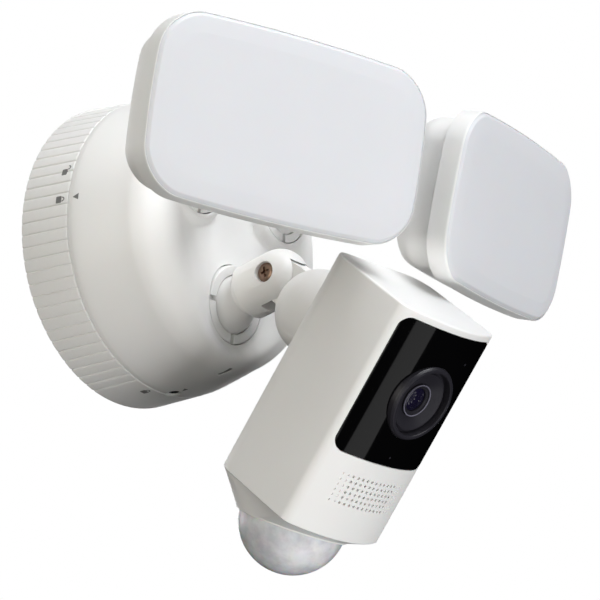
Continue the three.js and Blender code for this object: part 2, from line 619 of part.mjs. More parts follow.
function cameraSide() {
  const { x, y, z } = CAMERA_BALL;
  const { length, rise } = CAMERA_ARM;
  const pieces = [headShell(), headCollar(), pirDome(), frontPanel(), ...lensParts(), ...headElectronics()];
  const head = group(pieces, [0, -length, 0], [HEAD.tilt + rise, 0, 0]);
  return group([ballStud('camera_ball_stud', 1, length), ...elbowHardware('camera', length), head],
    [x, y, z], [-rise, 0, 0]);
}

function lightSide(prefix, side, pose) {
  const radians = (degrees) => degrees * Math.PI / 180;
  const lamp = group(lampPieces(prefix, side), [side * LAMP.boss, -LAMP.reach, 0]);
  const tilted = group([lamp], [0, -LIGHT_ARM.length, 0], [radians(pose.tilt), 0, 0]);
  return group([ballStud(`${prefix}_ball_stud`, LIGHT_BALL.scale, LIGHT_ARM.length),
    ...elbowHardware(prefix, LIGHT_ARM.length), tilted],
  [side * LIGHT_BALL.x, LIGHT_BALL.y, LIGHT_BALL.z], [0, radians(pose.roll), radians(pose.pan)], 'ZYX');
}

const floodlightCamera = group([
  wallBracket(), wallGasket(), lockRing(), lockScrew(), baseBody(), ...baseElectronics(),
  retainingRing('camera_retaining_ring', CAMERA_BALL, 1), jointCup('camera_joint_cup', CAMERA_BALL, 1),
  retainingRing('left_retaining_ring', LIGHT_BALL, -1), jointCup('left_joint_cup', LIGHT_BALL, -1),
  retainingRing('right_retaining_ring', LIGHT_BALL, 1), jointCup('right_joint_cup', LIGHT_BALL, 1),
  cameraSide(), lightSide('left', -1, LEFT_POSE), lightSide('right', 1, RIGHT_POSE),
]);

export default floodlightCamera;
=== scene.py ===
"""Looks of a floodlight security camera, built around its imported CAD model.

Shapes are drawn in millimetres in the frame of the joint that carries them: X to the right, +Y towards the
wall and +Z up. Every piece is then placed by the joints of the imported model.
"""
import json
import math

import bmesh
import bpy
import numpy as np
from mathutils import Matrix, Vector


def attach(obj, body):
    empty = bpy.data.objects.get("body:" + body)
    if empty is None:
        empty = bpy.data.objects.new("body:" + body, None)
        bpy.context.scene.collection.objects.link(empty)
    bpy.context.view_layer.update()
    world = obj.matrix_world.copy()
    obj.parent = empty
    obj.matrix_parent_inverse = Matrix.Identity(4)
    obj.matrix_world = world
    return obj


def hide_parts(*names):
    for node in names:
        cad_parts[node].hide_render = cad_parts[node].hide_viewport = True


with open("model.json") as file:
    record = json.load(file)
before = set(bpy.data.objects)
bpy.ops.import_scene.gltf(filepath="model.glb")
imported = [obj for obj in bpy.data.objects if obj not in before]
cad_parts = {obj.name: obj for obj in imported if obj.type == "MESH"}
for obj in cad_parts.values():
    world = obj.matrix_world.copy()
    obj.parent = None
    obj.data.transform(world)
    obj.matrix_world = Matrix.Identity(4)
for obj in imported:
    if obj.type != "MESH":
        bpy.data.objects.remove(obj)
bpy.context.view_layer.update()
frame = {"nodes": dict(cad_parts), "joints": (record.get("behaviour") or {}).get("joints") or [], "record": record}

MM = 0.001
JOINTS = {joint["name"]: joint for joint in frame["joints"]}
SIDES = {"left": -1, "right": 1}
ARM_NAMES = ("camera", "left", "right")

# ------------------------------------------------------------------ driving dimensions, in millimetres
SEAM = 0.25                                  # hairline gap between neighbouring mouldings
WALL = 2.5
BALL_R = 15.0
JOINT_SCALE = {"camera": 1.0, "left": 0.874, "right": 0.874}
CAMERA_LEAN = math.radians(7)                # the camera's collar looks this far down
LIP_BORE, LIP_OUTER, LIP_FRONT = 14.3, 19.0, -6.6
NECK_R, SHANK_R = 9.5, 5.5
ARM_R, ARM_START, ARM_FLAT, SLOT, SLOT_BACK = 13.5, 15.5, 12.2, 12.0, 12.5
PIN_HEAD_R, PIN_SEAT = 4.7, 10.7
EYE_R, SWEEP_STEPS = 10.5, 8

HEAD_TILT = math.radians(37.2)
HEAD_BACK, HEAD_FRONT, HEAD_TOP, HEAD_BOTTOM = -47.2, -108.5, 29.4, -79.4
HEAD_HALF, HEAD_FRONT_R, BACK_CORNER, SIDE_CORNER = 35.0, 75.0, 12.0, 6.0
TOP_RISE, BOTTOM_RISE = 2.4, 2.2
BOSS_R, BOSS_Y, BOSS_Z = 21.2, -32.2, -3.2
DOME_R, DOME_Y, DOME_Z, DOME_LEAN = 25.6, -77.1, -88.9, math.radians(12.6)
RIM_R, RIM_DROP = 27.0, 2.5
PANEL_HALF, PANEL_TOP, PANEL_BOTTOM, PANEL_CORNER = 32.8, 25.9, -41.8, 5.6
LENS_Z, BEZEL_R, FUNNEL_R, BARREL_R, GLASS_R = -9.0, 18.5, 15.4, 7.9, 5.6
HOLE_PITCH_X, HOLE_PITCH_Z, HOLE_TOP, HOLE_R = 3.05, 2.69, -50.95, 0.72
HOLE_ROWS, HOLE_COLUMNS, CLEAR_COLUMNS = 6, 7, 5     # columns on each side of the middle one

LAMP_W, LAMP_H, LAMP_CORNER, LAMP_BULGE = 139.0, 79.0, 19.0, 2.4
LAMP_FRAME, LAMP_DEPTH, COVER_INSET, BACK_ROUND = 10.0, 32.0, 4.2, 12.0
FLANGE_INSET, FLANGE_DEPTH = 2.2, 1.0
LAMP_BOSS, LAMP_REACH, LAMP_BOSS_R = 22.5, 62.0, 19.0
LIP_WIDTH = 0.5                              # of the frame that shows round the diffuser
LAMP_TILT = {"left": math.radians(11.3), "right": math.radians(13.5)}

RING_REAR, RING_FRONT, RING_DEPTH, RIBS = 76.0, 74.2, 28.1, 80
LUG_TURNS = [math.pi / 2 + i * 2 * math.pi / 3 for i in range(3)]
LUG_SPREAD = math.radians(10)
RIM_Y = -28.4                                # where the housing starts, a seam away from the ring
SKIRT_R, FLANGE_R, FLANGE_FRONT, FLANGE_BACK = 67.6, 69.9, -14.6, -12.2
HOUSING_PROFILE = [(74.0, RIM_Y), (73.8, -32), (72.3, -39), (68.2, -55), (66.4, -62), (63.4, -67.4),
                   (58.4, -71.6), (53.4, -73.6), (47, -73.9), (40, -72.4), (30, -70.2), (15, -69.2),
                   (0, -68.8)]
LOCK_SCREW_Y, LOCK_SCREW_TOP, LOCK_SCREW_SEAT, LOCK_SCREW_HOLE = -31.4, 73.4, 71.4, 3.6
SCREW_SLOT_SPACING, SCREW_SLOT_HALF = 88.9, 7.0    # the bracket's two slots, as on a 4 inch junction box
DRAIN_EDGE = [(3.2, -64.2), (2.5, -60.5), (1.8, -56.8)]     # (x, y) down its left side
DRAIN_WIDTH = 2.8


# ------------------------------------------------------------------ meshes
def new_object(name, verts, faces):
    mesh = bpy.data.meshes.new(name)
    mesh.from_pydata([tuple(map(float, v)) for v in verts], [], faces)
    tidy = bmesh.new()
    tidy.from_mesh(mesh)
    bmesh.ops.recalc_face_normals(tidy, faces=tidy.faces)
    tidy.to_mesh(mesh)
    tidy.free()
    obj = bpy.data.objects.new(name, mesh)
    bpy.context.scene.collection.objects.link(obj)
    return obj


def rounded(corners, closed=False, steps=6):
    """A path through corners (a, b, radius), each turned by an arc of that radius."""
    count = len(corners)
    path = []
    for i, (a, b, radius) in enumerate(corners):
        here = np.array([a, b], float)
        inner = closed or 0 < i < count - 1
        if radius <= 0 or not inner:
            path.append((a, b))
            continue
        before = np.array(corners[i - 1][:2], float) - here
        after = np.array(corners[(i + 1) % count][:2], float) - here
        room = 0.49 * min(np.linalg.norm(before), np.linalg.norm(after))
        before /= np.linalg.norm(before)
        after /= np.linalg.norm(after)
        half = math.acos(max(-1.0, min(1.0, float(before @ after)))) / 2
        reach = min(radius / math.tan(half), room)
        start, end = here + before * reach, here + after * reach
        for k in range(steps + 1):
            t = k / steps
            path.append(tuple((1 - t) ** 2 * start + 2 * t * (1 - t) * here + t * t * end))
    return path + path[:1] if closed else path


def smooth_path(points, steps=8):
    """A Catmull-Rom curve through the points."""
    pts = [np.array(p, float) for p in points]
    pts = [2 * pts[0] - pts[1]] + pts + [2 * pts[-1] - pts[-2]]
    path = []
    for p0, p1, p2, p3 in zip(pts, pts[1:], pts[2:], pts[3:]):
        for k in range(steps):
            t = k / steps
            path.append(0.5 * (2 * p1 + (p2 - p0) * t + (2 * p0 - 5 * p1 + 4 * p2 - p3) * t * t
                               + (3 * p1 - p0 - 3 * p2 + p3) * t ** 3))
    return [tuple(p) for p in path] + [tuple(points[-1])]


def turned(name, points, segments=96):
    """Turned about Y from points (radius, y) that start and end on the axis, or close on themselves."""
    closed = points[0] == points[-1]
    rows = points[:-1] if closed else points
    verts, index = [], []
    for radius, y in rows:
        start = len(verts)
        if radius < 1e-6:
            verts.append((0, y, 0))
            index.append([start] * segments)
            continue
        for i in range(segments):
            angle = 2 * math.pi * i / segments
            verts.append((radius * math.cos(angle), y, radius * math.sin(angle)))
        index.append(list(range(start, start + segments)))
    faces = []
    for lower, upper in zip(index, index[1:] + ([index[0]] if closed else [])):
        for i in range(segments):
            j = (i + 1) % segments
            face = list(dict.fromkeys([lower[i], lower[j], upper[j], upper[i]]))
            if len(face) > 2:
                faces.append(face)
    return new_object(name, verts, faces)


def lofted(name, rings):
    """A closed skin through rings of equal length, with a flat face at each end."""
    count = len(rings[0])
    verts = [v for ring in rings for v in ring]
    faces = []
    for k in range(len(rings) - 1):
        for i in range(count):
            j = (i + 1) % count
            faces.append([k * count + i, k * count + j, (k + 1) * count + j, (k + 1) * count + i])
    faces.append(list(range(count)))
    faces.append(list(range((len(rings) - 1) * count, len(rings) * count)))
    return new_object(name, verts, faces)


def block(low, high):
    (x0, y0, z0), (x1, y1, z1) = low, high
    return lofted("tool", [[(x0, y0, z), (x1, y0, z), (x1, y1, z), (x0, y1, z)] for z in (z0, z1)])


def rod(axis, start, end, radius, centre=(0, 0), segments=64):
    """A cylinder along one axis, between two values of it, through centre on the other two."""
    rings = []
    for along in (start, end):
        ring = []
        for i in range(segments):
            angle = 2 * math.pi * i / segments
            a, b = centre[0] + radius * math.cos(angle), centre[1] + radius * math.sin(angle)
            ring.append({"x": (along, a, b), "y": (a, along, b), "z": (a, b, along)}[axis])
        rings.append(ring)
    return lofted("tool", rings)


def slab(outline, back, front):
    """A front-view outline (x, z), run from y = back to y = front."""
    return lofted("tool", [[(x, back, z) for x, z in outline], [(x, front, z) for x, z in outline]])


def ball(radius, centre=(0, 0, 0), segments=64):
    arc = [(radius * math.sin(math.pi * k / 32), -radius * math.cos(math.pi * k / 32)) for k in range(1, 32)]
    return moved(turned("tool", [(0, -radius)] + arc + [(0, radius)], segments), Matrix.Translation(centre))


def moved(obj, matrix):
    obj.data.transform(matrix)
    return obj


def apply_modifiers(obj):
    graph = bpy.context.evaluated_depsgraph_get()
    mesh = bpy.data.meshes.new_from_object(obj.evaluated_get(graph))
    obj.modifiers.clear()
    obj.data = mesh
    return obj


def combined(operation, obj, tools):
    for tool in tools:
        modifier = obj.modifiers.new("combine", "BOOLEAN")
        modifier.operation = operation
        modifier.solver = "MANIFOLD"
        modifier.object = tool
    apply_modifiers(obj)
    for tool in tools:
        bpy.data.objects.remove(tool)
    return obj


def cut(obj, *tools):
    return combined("DIFFERENCE", obj, tools)


def joined(obj, *tools):
    return combined("UNION", obj, tools)


def common(obj, *tools):
    return combined("INTERSECT", obj, tools)


def eased(obj, width, angle=35, segments=2):
    """Rounds the sharp edges of a cut shape."""
    tidy = bmesh.new()
    tidy.from_mesh(obj.data)
    bmesh.ops.remove_doubles(tidy, verts=tidy.verts, dist=0.002)
    bmesh.ops.dissolve_limit(tidy, angle_limit=math.radians(0.5), verts=tidy.verts, edges=tidy.edges)
    tidy.to_mesh(obj.data)
    tidy.free()
    modifier = obj.modifiers.new("ease", "BEVEL")
    modifier.width = width
    modifier.segments = segments
    modifier.limit_method = "ANGLE"
    modifier.angle_limit = math.radians(angle)
    return apply_modifiers(obj)


def install(obj, name, place, body, nodes, finish, sharp=35):
    """Puts a finished shape in its place, in metres, riding on its body in the CAD nodes' stead."""
    obj.name = name
    obj.data.name = name
    obj.data.transform(Matrix.Scale(MM, 4) @ place)
    obj.data.materials.clear()
    obj.data.materials.append(finish)
    obj.data.shade_smooth()
    obj.data.set_sharp_from_angle(angle=math.radians(sharp))
    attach(obj, body)
    if nodes:
        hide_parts(*nodes)
    return obj


# ------------------------------------------------------------------ where the joints put things
def frame_of(origin, x_axis, y_axis):
    """The placement, in millimetres, of axes at a point given in metres."""
    x = Vector(x_axis).normalized()
    y = Vector(y_axis).normalized()
    place = Matrix((x, y, x.cross(y))).transposed().to_4x4()
    place.translation = Vector(origin) / MM
    return place


def ball_place(prefix):
    lean = CAMERA_LEAN if prefix == "camera" else 0
    return Matrix.Translation(Vector(JOINTS[f"{prefix}_pan"]["pos_m"]) / MM) @ Matrix.Rotation(lean, 4, "X")


def arm_place(prefix):
    pan, twist, tilt = (JOINTS[f"{prefix}_{way}"] for way in ("pan", "twist", "tilt"))
    return frame_of(pan["pos_m"], tilt["axis"], -Vector(twist["axis"]))


def arm_length(prefix):
    return (Vector(JOINTS[f"{prefix}_tilt"]["pos_m"]) - Vector(JOINTS[f"{prefix}_pan"]["pos_m"])).length / MM


def elbow_place(prefix):
    return arm_place(prefix) @ Matrix.Translation((0, -arm_length(prefix), 0))


def head_place():
    elbow = Vector(JOINTS["camera_tilt"]["pos_m"]) / MM
    return Matrix.Translation(elbow) @ Matrix.Rotation(HEAD_TILT, 4, "X")


def lamp_place(prefix):
    offset = (SIDES[prefix] * LAMP_BOSS, -LAMP_REACH, 0)
    return elbow_place(prefix) @ Matrix.Rotation(LAMP_TILT[prefix], 4, "X") @ Matrix.Translation(offset)


# ------------------------------------------------------------------ materials
class Shader:
    """A small node tree around one Principled shader."""

    def __init__(self, name):
        self.material = bpy.data.materials.new(name)
        self.material.use_nodes = True
        self.nodes = self.material.node_tree.nodes
        self.links = self.material.node_tree.links
        self.surface = self.nodes["Principled BSDF"]
        self.position = self.add("ShaderNodeTexCoord").outputs["Object"]

    def add(self, kind, **settings):
        node = self.nodes.new(kind)
        for key, value in settings.items():
            if key in node.inputs:
                node.inputs[key].default_value = value
            else:
                setattr(node, key, value)
        return node

    def set(self, **values):
        for key, value in values.items():
            self.surface.inputs[key.replace("_", " ")].default_value = value

    def link(self, output, socket):
        self.links.new(output, self.surface.inputs[socket])

    def noise(self, scale, detail=3.0, roughness=0.5):
        node = self.add("ShaderNodeTexNoise", Scale=scale, Detail=detail, Roughness=roughness)
        self.links.new(self.position, node.inputs["Vector"])
        return node.outputs["Fac"]

    def blend(self, factor, low, high, colours=False):
        """Runs from low to high as factor goes from 0 to 1."""
        if colours:
            node = self.add("ShaderNodeMix", data_type="RGBA")
            inputs = [node.inputs[6], node.inputs[7]]
            output = node.outputs[2]
        else:
            node = self.add("ShaderNodeMix", data_type="FLOAT")
            inputs = [node.inputs[2], node.inputs[3]]
            output = node.outputs[0]
        self.links.new(factor, node.inputs[0])
        inputs[0].default_value = (*low, 1) if colours else low
        inputs[1].default_value = (*high, 1) if colours else high
        return output

    def bump(self, height, strength, distance):
        node = self.add("ShaderNodeBump", Strength=strength, Distance=distance)
        self.links.new(height, node.inputs["Height"])
        self.link(node.outputs["Normal"], "Normal")


def moulded(name, low, high, rough, grain=0.12, grain_size=1800, sheen_coat=0.0, subsurface=0.0):
    """Moulded plastic: faint cloudy colour, uneven gloss and a fine spark-eroded grain."""
    shader = Shader(name)
    cloud = shader.noise(22, 4)
    shader.link(shader.blend(cloud, low, high, colours=True), "Base Color")
    shader.link(shader.blend(shader.noise(90, 3), rough[0], rough[1]), "Roughness")
    shader.bump(shader.noise(grain_size, 2), grain, 0.00004)
    shader.set(Coat_Weight=sheen_coat, Coat_Roughness=0.3)
    if subsurface:
        shader.set(Subsurface_Weight=subsurface, Subsurface_Scale=0.004)
    return shader.material


def metal(name, colour, rough, scratch_scale=600, strength=0.25):
    """Bare or plated metal with fine tool marks and blotches."""
    shader = Shader(name)
    darker = tuple(0.72 * c for c in colour)
    shader.link(shader.blend(shader.noise(120, 5, 0.65), darker, colour, colours=True), "Base Color")
    shader.link(shader.blend(shader.noise(scratch_scale, 4), rough - 0.08, rough + 0.12), "Roughness")
    shader.bump(shader.noise(scratch_scale, 4), strength, 0.00005)
    shader.set(Metallic=1.0)
    return shader.material


def dome_plastic():
    """Milky plastic with the moulded lens cells of a motion sensor showing through."""
    shader = Shader("dome_plastic")
    cells = shader.add("ShaderNodeTexVoronoi", feature="SMOOTH_F1", Scale=150.0, Smoothness=0.35)
    shader.links.new(shader.position, cells.inputs["Vector"])
    cloud = shader.add("ShaderNodeMapRange")
    cloud.inputs["From Min"].default_value, cloud.inputs["From Max"].default_value = 0.36, 0.64
    shader.links.new(shader.noise(55, 4, 0.6), cloud.inputs["Value"])
    shader.link(shader.blend(cloud.outputs["Result"], (0.55, 0.56, 0.60), (0.90, 0.91, 0.94), colours=True),
                "Base Color")
    shader.bump(cells.outputs["Distance"], 0.35, 0.0006)
    shader.set(Roughness=0.28, Transmission_Weight=0.12, Subsurface_Weight=0.5, Subsurface_Scale=0.003)
    return shader.material


def board_material():
    """Green solder mask with a faint pattern of tracks."""
    shader = Shader("circuit_board")
    tracks = shader.add("ShaderNodeTexBrick", Scale=220.0)
    shader.links.new(shader.position, tracks.inputs["Vector"])
    shader.link(shader.blend(tracks.outputs["Fac"], (0.012, 0.07, 0.03), (0.03, 0.14, 0.07), colours=True),
                "Base Color")
    shader.set(Roughness=0.4)
    return shader.material


def gloss_black():
    """Polished black acrylic, with a trace of dust in its gloss."""
    shader = Shader("black_panel")
    shader.link(shader.blend(shader.noise(40, 3), (0.0012, 0.0012, 0.0014), (0.002, 0.002, 0.0022),
                             colours=True), "Base Color")
    shader.link(shader.blend(shader.noise(500, 2), 0.04, 0.075), "Roughness")
    shader.set(IOR=1.49)
    return shader.material


def coated_glass():
    shader = Shader("lens_glass")
    shader.link(shader.blend(shader.noise(60, 2), (0.004, 0.004, 0.012), (0.012, 0.009, 0.03), colours=True),
                "Base Color")
    shader.set(Roughness=0.03, IOR=1.7, Coat_Weight=1.0, Coat_Roughness=0.02)
    return shader.material


WHITE = moulded("white_plastic", (0.80, 0.797, 0.785), (0.845, 0.842, 0.832), (0.36, 0.46), subsurface=0.04)
DIFFUSER = moulded("diffuser_plastic", (0.63, 0.637, 0.662), (0.66, 0.667, 0.692), (0.42, 0.5), 0.05, 900,
                   subsurface=0.12)
GRAPHITE = moulded("graphite_plastic", (0.015, 0.0145, 0.019), (0.023, 0.022, 0.028), (0.30, 0.42))
LENS_RING = moulded("lens_ring", (0.13, 0.125, 0.165), (0.17, 0.165, 0.21), (0.25, 0.35))
DARK = moulded("dark_plastic", (0.02, 0.02, 0.021), (0.035, 0.035, 0.037), (0.5, 0.65))
RUBBER = moulded("black_rubber", (0.012, 0.012, 0.012), (0.022, 0.022, 0.022), (0.7, 0.85), 0.3, 1200)
# grey ink for the printed marks, also used for the painted shade in the drain slot
INK_AND_PAINTED_SHADE = moulded("ink_and_painted_shade", (0.15, 0.15, 0.15), (0.20, 0.20, 0.20), (0.5, 0.6))
GALVANISED = metal("galvanised_steel", (0.60, 0.61, 0.62), 0.36)
# steel screw coloured dark: painted shade for the hole the ring screw sits in
PAINTED_SHADE_SCREW = metal("painted_shade_screw", (0.12, 0.12, 0.125), 0.28)
BRONZE = metal("bronze_screw", (0.30, 0.20, 0.145), 0.34)
ALUMINIUM = metal("aluminium", (0.70, 0.71, 0.72), 0.34)
PANEL_BLACK = gloss_black()
GLASS = coated_glass()
DOME = dome_plastic()
BOARD = board_material()


# ------------------------------------------------------------------ base housing
def smooth_max(a, b, width):
    return np.maximum(a, b) + np.maximum(width - np.abs(a - b), 0) ** 2 / (4 * width)


def front_depth(x, z, depth):
    """How far the housing stands out at (x, z): the plain turned depth, with the joint seats blended in."""
    camera = ball_place("camera")
    centre = camera.translation
    mouth = -centre.y + (-LIP_FRONT + (z - centre.z) * math.sin(CAMERA_LEAN)) / math.cos(CAMERA_LEAN)
    from_axis = np.hypot(x, z - centre.z + LIP_FRONT * -math.sin(CAMERA_LEAN))
    dish = mouth + np.maximum(0, from_axis - (LIP_OUTER + 2.4)) * 0.52
    depth = -smooth_max(-depth, -dish, 3.0)
    for prefix in SIDES:
        centre = ball_place(prefix).translation
        rim = LIP_OUTER * JOINT_SCALE[prefix] + 2
        outside = np.maximum(0, np.hypot(x - centre.x, z - centre.z) - rim)
        horn = -centre.y - LIP_FRONT * JOINT_SCALE[prefix] - 0.9 * outside - 0.14 * outside ** 2
        depth = smooth_max(depth, horn, 1.6)
    return depth


def housing():
    profile = smooth_path(HOUSING_PROFILE, 9)
    edge = [(SKIRT_R, RIM_Y), (SKIRT_R, FLANGE_FRONT), (FLANGE_R, FLANGE_FRONT), (FLANGE_R, FLANGE_BACK),
            (0, FLANGE_BACK)]
    shell = turned("housing", profile[::-1] + edge, 240)
    for vertex in shell.data.vertices:
        x, y, z = vertex.co
        if y < -45:
            vertex.co.y = -float(front_depth(x, z, np.array(-y)))
    hollow = turned("tool", [(0, -60), (56, -60), (62, -56), (68.5, -37), (69.5, -31.6), (64.8, -27.2),
                             (64.8, -5), (0, -5)], 96)
    tools = [hollow]
    for prefix in ARM_NAMES:
        tool = rod("y", -30, 17.3, LIP_OUTER * JOINT_SCALE[prefix] + 2 * SEAM, segments=128)
        tools.append(moved(tool, ball_place(prefix)))
    tools.append(rod("z", -90, -LOCK_SCREW_SEAT, LOCK_SCREW_HOLE, (0, LOCK_SCREW_Y), 48))
    tools.append(rod("z", -90, -60, 1.9, (0, LOCK_SCREW_Y), 24))
    tools.append(drain_slot())
    install(cut(shell, *tools), "base_housing", Matrix(), "base", ["base_body"], WHITE, 40)


def drain_slot():
    """A slanting slot low on the housing."""
    (x0, y0), (x1, y1) = DRAIN_EDGE[0], DRAIN_EDGE[-1]
    corners = [(x0, y0), (x0 + DRAIN_WIDTH, y0), (x1 + DRAIN_WIDTH, y1), (x1, y1)]
    outline = rounded([(x, y, 0.6) for x, y in corners], True, 3)[:-1]
    return lofted("tool", [[(x, y, z) for x, y in outline] for z in (-85, -60)])


def lock_ring():
    """A band of flat ribs, with a smooth patch at the bottom."""
    bare = math.radians(14)
    per_rib = 8
    count = RIBS * per_rib
    pitch = 2 * math.pi / RIBS
    groove = 0.55
    outer = rounded([(RING_REAR - 3, 0, 0), (RING_REAR, 0, 1.0), (RING_FRONT, -RING_DEPTH, 0.9),
                     (RING_FRONT - 3, -RING_DEPTH, 0)], steps=5)
    inner = [(68, -RING_DEPTH), (68, -15), (70.4, -15), (70.4, 0)]
    offsets = [0.5, 1.0, 0.25, 0.0, 0.0, 0.0, 0.0, 0.1]
    shares = [0.0, 0.055, 0.12, 0.2, 0.4, 0.6, 0.8, 0.94]
    verts = []
    for k, (radius, y) in enumerate(outer + inner):
        for i in range(count):
            rib, step = divmod(i, per_rib)
            angle = -math.pi / 2 + (rib + shares[step]) * pitch
            from_bottom = abs(math.remainder(angle + math.pi / 2, 2 * math.pi))
            deep = groove * offsets[step] if k < len(outer) and from_bottom > bare else 0
            r = radius - deep
            verts.append((r * math.cos(angle), y, r * math.sin(angle)))
    rows = len(outer) + len(inner)
    faces = []
    for k in range(rows):
        for i in range(count):
            j = (i + 1) % count
            upper = (k + 1) % rows
            faces.append([k * count + i, k * count + j, upper * count + j, upper * count + i])
    ring = new_object("ring", verts, faces)
    lugs = [arc_block(62.4, 71, -3, -6.2, turn, LUG_SPREAD) for turn in LUG_TURNS]
    install(joined(ring, *lugs), "lock_ring_ribbed", Matrix(), "lock_ring", ["lock_ring"], WHITE,
            28)


def arc_block(inner, outer, back, front, middle, spread, steps=8):
    """A wedge of a ring about the Y axis."""
    turns = [middle + spread * (k / steps - 0.5) for k in range(steps + 1)]
    outline = [(outer * math.cos(t), outer * math.sin(t)) for t in turns]
    outline += [(inner * math.cos(t), inner * math.sin(t)) for t in reversed(turns)]
    return slab(outline, back, front)


def wall_plate():
    pan_profile = [(0, -2.5, 0), (58, -2.5, 1.2), (58, -9, 0.6), (61.5, -9, 1.5), (61.5, 0, 0.6), (0, 0, 0)]
    pan = turned("plate", rounded(pan_profile, steps=4), 160)
    lugs = [arc_block(60.5, 66, -6.6, -9, turn, LUG_SPREAD) for turn in LUG_TURNS]
    tools = [slab(box_outline(-20, 14, 20, 40, 8), 1, -4)]
    for side in (-1, 1):
        x = side * SCREW_SLOT_SPACING / 2
        tools.append(slab(box_outline(x - SCREW_SLOT_HALF, -2.4, x + SCREW_SLOT_HALF, 2.4, 2.39), 1, -4))
        tools.append(rod("y", -4, 1, 2.4, (side * 30, -30), 32))
    plate = eased(cut(joined(pan, *lugs), *tools), 0.25, 40)
    install(plate, "wall_plate", Matrix(), "base", ["wall_bracket"], GALVANISED, 15)
    seal_profile = [(62.2, -2.4, 0.7), (67.6, -2.4, 0.7), (67.6, -0.05, 0.7), (62.2, -0.05, 0.7)]
    seal = turned("seal", rounded(seal_profile, True, 4), 160)
    install(seal, "wall_seal", Matrix(), "base", ["wall_gasket"], RUBBER)


def box_outline(x0, z0, x1, z1, radius, steps=8):
    outline = []
    for cx, cz, turn in ((x1 - radius, z0 + radius, -1), (x1 - radius, z1 - radius, 0),
                         (x0 + radius, z1 - radius, 1), (x0 + radius, z0 + radius, 2)):
        for k in range(steps + 1):
            angle = (turn + k / steps) * math.pi / 2
            outline.append((cx + radius * math.cos(angle), cz + radius * math.sin(angle)))
    return outline


def cross_recess(width, reach, depth):
    """A tapering cross, cut into a screw's head: its mouth is at y = 0 and it runs towards +Y."""
    arms = []
    for turn in (0, math.pi / 2):
        rings = []
        for y, share in ((-1, 1.0), (0, 1.0), (depth, 0.55)):
            a, b = reach * share, width / 2 * (0.6 + 0.4 * share)
            rings.append([(-a, y, -b), (a, y, -b), (a, y, b), (-a, y, b)])
        arms.append(moved(lofted("tool", rings), Matrix.Rotation(turn, 4, "Y")))
    return arms


def screw(name, head_r, head_height, shaft_r, length, place, body, node, finish):
    """A pan-head screw with its head's top at y = 0 and its shaft along +Y."""
    profile = rounded([(0, 0, 0), (head_r * 0.72, 0.06, head_r * 0.5), (head_r, head_height * 0.55, 0.5),
                       (head_r, head_height, 0.2), (shaft_r, head_height, 0), (shaft_r, length, 0.3),
                       (0, length, 0)], steps=6)
    solid = turned("screw", profile, 64)
    body_shape = cut(solid, *cross_recess(head_r * 0.26, head_r * 0.56, head_height * 0.85))
    install(body_shape, name, place, body, [node], finish, 30)


# ------------------------------------------------------------------ ball joints and arms
def retaining_ring(prefix):
    k = JOINT_SCALE[prefix]
    corners = [(LIP_BORE, LIP_FRONT, 0.5), (LIP_OUTER, LIP_FRONT, 0.7), (LIP_OUTER, 1, 0), (16.2, 1, 0),
               (15.6, -2.2, 0), (14.4, -5.1, 0)]
    ring = turned("ring", [(r * k, y * k) for r, y in rounded(corners, True, 4)], 128)
    notches = []
    for i in range(4):
        notch = block((LIP_BORE * k - 1, LIP_FRONT * k - 1, -1.3 * k),
                      (LIP_OUTER * k + 1, LIP_FRONT * k + 2.6, 1.3 * k))
        notches.append(moved(notch, Matrix.Rotation(i * math.pi / 2, 4, "Y")))
    install(cut(ring, *notches), f"{prefix}_joint_collar", ball_place(prefix), "base",
            [f"{prefix}_retaining_ring"], WHITE, 30)


def ball_stud(prefix):
    k = JOINT_SCALE[prefix]
    radius = BALL_R * k
    neck_end = -(ARM_START - 0.3)
    meet = -math.sqrt(radius ** 2 - (NECK_R * k) ** 2)
    arc = []
    start = math.asin(NECK_R * k / radius)
    for step in range(41):
        angle = start + (math.pi - start) * step / 40
        arc.append((radius * math.sin(angle), -radius * math.cos(angle)))
    arc[-1] = (0, radius)
    tip = -(arm_length(prefix) - SLOT_BACK - 3)
    neck = rounded([(0, tip, 0), (SHANK_R, tip, 0), (SHANK_R, neck_end, 0), (NECK_R * k, neck_end, 0),
                    (NECK_R * k, meet + 0.01, 0)])
    install(turned("stud", neck + arc, 96), f"{prefix}_ball", arm_place(prefix), f"{prefix}_ball",
            [f"{prefix}_ball_stud"], WHITE, 50)


def arm(prefix):
    """A round arm whose domed end is slotted for the carried part's eye."""
    length = arm_length(prefix)
    dome = [(ARM_R * math.cos(math.pi / 2 * k / 16), -length - ARM_R * math.sin(math.pi / 2 * k / 16))
            for k in range(17)]
    dome[-1] = (0, -length - ARM_R)
    back = rounded([(0, -ARM_START, 0), (ARM_R, -ARM_START, 1.1), (ARM_R, -length, 0)], steps=5)
    shape = turned("arm", back + dome[1:], 96)
    far = ARM_R + 5
    tools = [rod("y", -(length - SLOT_BACK - 2.4), -ARM_START + 1, SHANK_R + 0.3),
             *eye_sweep(prefix),
             rod("x", -far, far, 2.65, (-length, 0)),
             rod("x", -far, -PIN_SEAT, PIN_HEAD_R + 0.4, (-length, 0)),
             rod("x", PIN_SEAT, far, PIN_HEAD_R + 0.4, (-length, 0))]
    install(eased(cut(shape, *tools), 0.35), f"{prefix}_arm_fork", arm_place(prefix), f"{prefix}_arm",
            [f"{prefix}_arm"], WHITE, 30)


